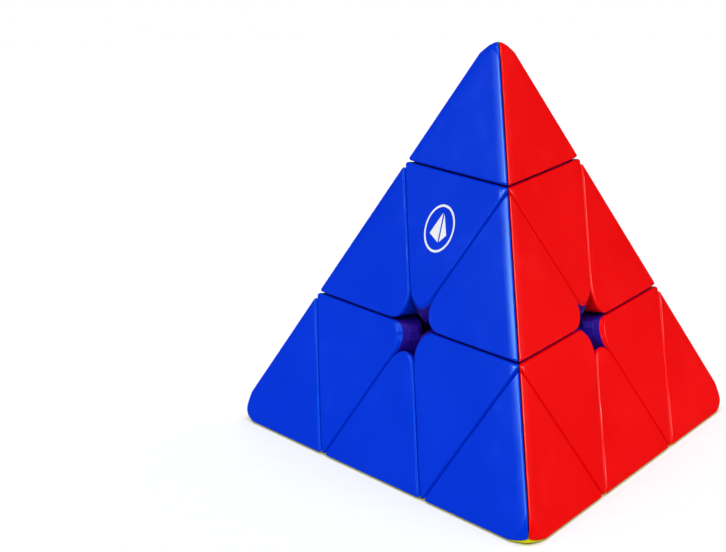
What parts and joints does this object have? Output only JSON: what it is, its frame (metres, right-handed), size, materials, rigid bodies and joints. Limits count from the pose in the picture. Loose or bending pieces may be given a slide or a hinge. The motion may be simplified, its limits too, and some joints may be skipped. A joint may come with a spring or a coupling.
{
  "type": "pyramid twisty puzzle",
  "caption": "Tetrahedral twist puzzle of coloured shells on purple bodies; layers and corner tips turn about an inner core.",
  "frame": {"origin": "centre of the core, where the four turning axes cross; it is also the centroid of the puzzle", "axes": "+Z towards the top corner, along the axis of the top layer; -Y towards the front bottom corner; +X to the right, with the blue face front left and the red face front right"},
  "size_m": [0.0924, 0.0811, 0.0761],
  "materials": {
    "shell_yellow": "semi-gloss",
    "shell_green": "semi-gloss",
    "shell_blue": "semi-gloss",
    "shell_red": "semi-gloss",
    "inner_purple": "satin",
    "core_white": "matte",
    "cup_blue": "gloss",
    "screw_steel": "polished"
  },
  "bodies": {
    "core": {"core": "core_white", "top_screw": "screw_steel", "front_screw": "screw_steel", "right_screw": "screw_steel", "left_screw": "screw_steel"},
    "top_axial": {"top_axial_body": "inner_purple", "top_magnet_cup": "cup_blue", "top_axial_green_shell": "shell_green", "top_axial_blue_shell": "shell_blue", "top_axial_red_shell": "shell_red"},
    "front_axial": {"front_axial_body": "inner_purple", "front_magnet_cup": "cup_blue", "front_axial_yellow_shell": "shell_yellow", "front_axial_blue_shell": "shell_blue", "front_axial_red_shell": "shell_red"},
    "right_axial": {"right_axial_body": "inner_purple", "right_magnet_cup": "cup_blue", "right_axial_yellow_shell": "shell_yellow", "right_axial_green_shell": "shell_green", "right_axial_red_shell": "shell_red"},
    "left_axial": {"left_axial_body": "inner_purple", "left_magnet_cup": "cup_blue", "left_axial_yellow_shell": "shell_yellow", "left_axial_green_shell": "shell_green", "left_axial_blue_shell": "shell_blue"},
    "top_tip": {"top_tip_body": "inner_purple", "top_tip_green_shell": "shell_green", "top_tip_blue_shell": "shell_blue", "top_tip_red_shell": "shell_red"},
    "front_tip": {"front_tip_body": "inner_purple", "front_tip_yellow_shell": "shell_yellow", "front_tip_blue_shell": "shell_blue", "front_tip_red_shell": "shell_red"},
    "right_tip": {"right_tip_body": "inner_purple", "right_tip_yellow_shell": "shell_yellow", "right_tip_green_shell": "shell_green", "right_tip_red_shell": "shell_red"},
    "left_tip": {"left_tip_body": "inner_purple", "left_tip_yellow_shell": "shell_yellow", "left_tip_green_shell": "shell_green", "left_tip_blue_shell": "shell_blue"},
    "top_front_edge": {"top_front_edge_body": "inner_purple", "top_front_edge_blue_shell": "shell_blue", "top_front_edge_red_shell": "shell_red"},
    "top_right_edge": {"top_right_edge_body": "inner_purple", "top_right_edge_green_shell": "shell_green", "top_right_edge_red_shell": "shell_red"},
    "top_left_edge": {"top_left_edge_body": "inner_purple", "top_left_edge_green_shell": "shell_green", "top_left_edge_blue_shell": "shell_blue"},
    "front_right_edge": {"front_right_edge_body": "inner_purple", "front_right_edge_yellow_shell": "shell_yellow", "front_right_edge_red_shell": "shell_red"},
    "front_left_edge": {"front_left_edge_body": "inner_purple", "front_left_edge_yellow_shell": "shell_yellow", "front_left_edge_blue_shell": "shell_blue"},
    "right_left_edge": {"right_left_edge_body": "inner_purple", "right_left_edge_yellow_shell": "shell_yellow", "right_left_edge_green_shell": "shell_green"}
  },
  "joints": [
    {"name": "top_layer_turn", "type": "hinge", "parent": "core", "child": "top_axial", "pos_m": [0, 0, 0], "axis": [0, 0, 1], "range_deg": [-120, 120]},
    {"name": "front_layer_turn", "type": "hinge", "parent": "core", "child": "front_axial", "pos_m": [0, 0, 0], "axis": [0, -0.9428, -0.3333], "range_deg": [-120, 120]},
    {"name": "right_layer_turn", "type": "hinge", "parent": "core", "child": "right_axial", "pos_m": [0, 0, 0], "axis": [0.8165, 0.4714, -0.3333], "range_deg": [-120, 120]},
    {"name": "left_layer_turn", "type": "hinge", "parent": "core", "child": "left_axial", "pos_m": [0, 0, 0], "axis": [-0.8165, 0.4714, -0.3333], "range_deg": [-240, 120]},
    {"name": "top_tip_turn", "type": "hinge", "parent": "top_axial", "child": "top_tip", "pos_m": [0, 0, 0], "axis": [0, 0, 1], "continuous": true},
    {"name": "front_tip_turn", "type": "hinge", "parent": "front_axial", "child": "front_tip", "pos_m": [0, 0, 0], "axis": [0, -0.9428, -0.3333], "continuous": true},
    {"name": "right_tip_turn", "type": "hinge", "parent": "right_axial", "child": "right_tip", "pos_m": [0, 0, 0], "axis": [0.8165, 0.4714, -0.3333], "continuous": true},
    {"name": "left_tip_turn", "type": "hinge", "parent": "left_axial", "child": "left_tip", "pos_m": [0, 0, 0], "axis": [-0.8165, 0.4714, -0.3333], "continuous": true},
    {"name": "top_front_edge_ride", "type": "hinge", "parent": "top_axial", "child": "top_front_edge", "pos_m": [0, 0, 0], "axis": [0, -0.9428, -0.3333], "range_deg": [-120, 120]},
    {"name": "top_right_edge_ride", "type": "hinge", "parent": "right_axial", "child": "top_right_edge", "pos_m": [0, 0, 0], "axis": [0, 0, 1], "range_deg": [-120, 120]},
    {"name": "top_left_edge_ride", "type": "hinge", "parent": "top_axial", "child": "top_left_edge", "pos_m": [0, 0, 0], "axis": [-0.8165, 0.4714, -0.3333], "range_deg": [-240, 120]},
    {"name": "front_right_edge_ride", "type": "hinge", "parent": "front_axial", "child": "front_right_edge", "pos_m": [0, 0, 0], "axis": [0.8165, 0.4714, -0.3333], "range_deg": [-120, 120]},
    {"name": "front_left_edge_ride", "type": "hinge", "parent": "front_axial", "child": "front_left_edge", "pos_m": [0, 0, 0], "axis": [-0.8165, 0.4714, -0.3333], "range_deg": [-240, 120]},
    {"name": "right_left_edge_ride", "type": "hinge", "parent": "right_axial", "child": "right_left_edge", "pos_m": [0, 0, 0], "axis": [-0.8165, 0.4714, -0.3333], "range_deg": [-240, 120]}
  ],
  "couplings": [
    {"joint": "top_front_edge_ride", "follows": "front_layer_turn", "ratio": 1},
    {"joint": "top_right_edge_ride", "follows": "top_layer_turn", "ratio": 1},
    {"joint": "top_left_edge_ride", "follows": "left_layer_turn", "ratio": 1},
    {"joint": "front_right_edge_ride", "follows": "right_layer_turn", "ratio": 1},
    {"joint": "front_left_edge_ride", "follows": "left_layer_turn", "ratio": 1},
    {"joint": "right_left_edge_ride", "follows": "left_layer_turn", "ratio": 1}
  ]
}
